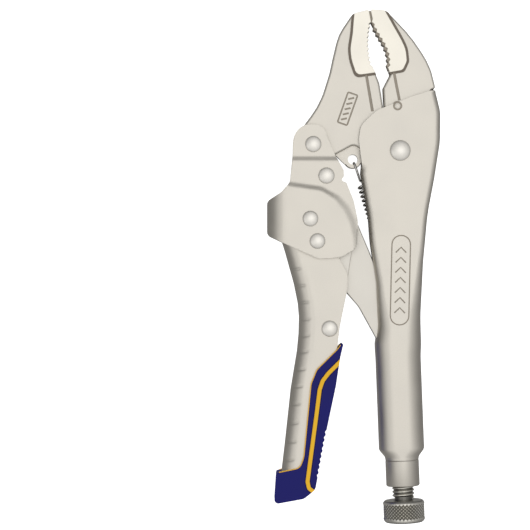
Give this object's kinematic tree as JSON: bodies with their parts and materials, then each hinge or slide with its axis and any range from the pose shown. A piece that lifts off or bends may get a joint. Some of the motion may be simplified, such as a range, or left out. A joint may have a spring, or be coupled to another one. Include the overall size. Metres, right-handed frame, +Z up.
{
  "type": "locking pliers",
  "caption": "Curved-jaw locking pliers with a toggle link, an adjusting screw, a sprung movable jaw and a release lever under a moulded grip.",
  "frame": {"origin": "middle of the underside of the bounding box, with the tool lying on one side, shut and locked", "axes": "+Y along the tool towards the jaw tips, +X towards the spine of the fixed handle, +Z up through its thickness"},
  "size_m": [0.0863, 0.256, 0.0216],
  "materials": {
    "satin_nickel": "satin nickel plate",
    "ground_steel": "satin nickel plate, ground at the teeth",
    "rivet_steel": "satin",
    "link_steel": "satin nickel plate",
    "grip_blue": "satin moulded",
    "stripe_yellow": "satin moulded",
    "screw_steel": "satin",
    "spring_wire": "bright wire"
  },
  "bodies": {
    "frame": {"fixed_handle": "satin_nickel", "fixed_jaw": "ground_steel", "jaw_dowel": "rivet_steel", "jaw_pivot_rivet": "rivet_steel", "jaw_spring": "spring_wire"},
    "jaw": {"movable_jaw": "ground_steel"},
    "lever": {"lever_bracket": "satin_nickel", "lever_rivet": "rivet_steel", "link_rivet": "rivet_steel", "release_rivet": "rivet_steel", "stop_rivet": "rivet_steel"},
    "handle": {"moving_handle": "satin_nickel", "liner_plate_front": "link_steel", "liner_plate_back": "link_steel", "liner_rivet": "rivet_steel", "handle_grip": "grip_blue", "grip_stripe_front": "stripe_yellow", "grip_stripe_back": "stripe_yellow"},
    "link": {"toggle_link": "link_steel"},
    "screw": {"adjusting_screw": "screw_steel"}
  },
  "joints": [
    {"name": "jaw_open", "type": "hinge", "parent": "frame", "child": "jaw", "pos_m": [0.0232, 0.0574, 0.0108], "axis": [0, 0, 1], "range_deg": [0, 8.6], "deforming": ["jaw_spring"]},
    {"name": "lever_swing", "type": "hinge", "parent": "jaw", "child": "lever", "pos_m": [-0.02, 0.0606, 0.0108], "axis": [0, 0, -1], "range_deg": [0, 57]},
    {"name": "link_swing", "type": "hinge", "parent": "lever", "child": "link", "pos_m": [-0.0135, 0.0449, 0.0108], "axis": [0, 0, 1], "range_deg": [0, 57.1]},
    {"name": "handle_release", "type": "hinge", "parent": "lever", "child": "handle", "pos_m": [-0.0215, 0.0235, 0.0108], "axis": [0, 0, -1], "range_deg": [0, 5]},
    {"name": "screw_travel", "type": "slide", "parent": "frame", "child": "screw", "axis": [0.0384, -0.9993, 0], "range_m": [0, 0.018]}
  ],
  "couplings": [
    {"joint": "jaw_open", "follows": "lever_swing", "ratio": 0.15},
    {"joint": "link_swing", "follows": "lever_swing", "ratio": 1}
  ]
}
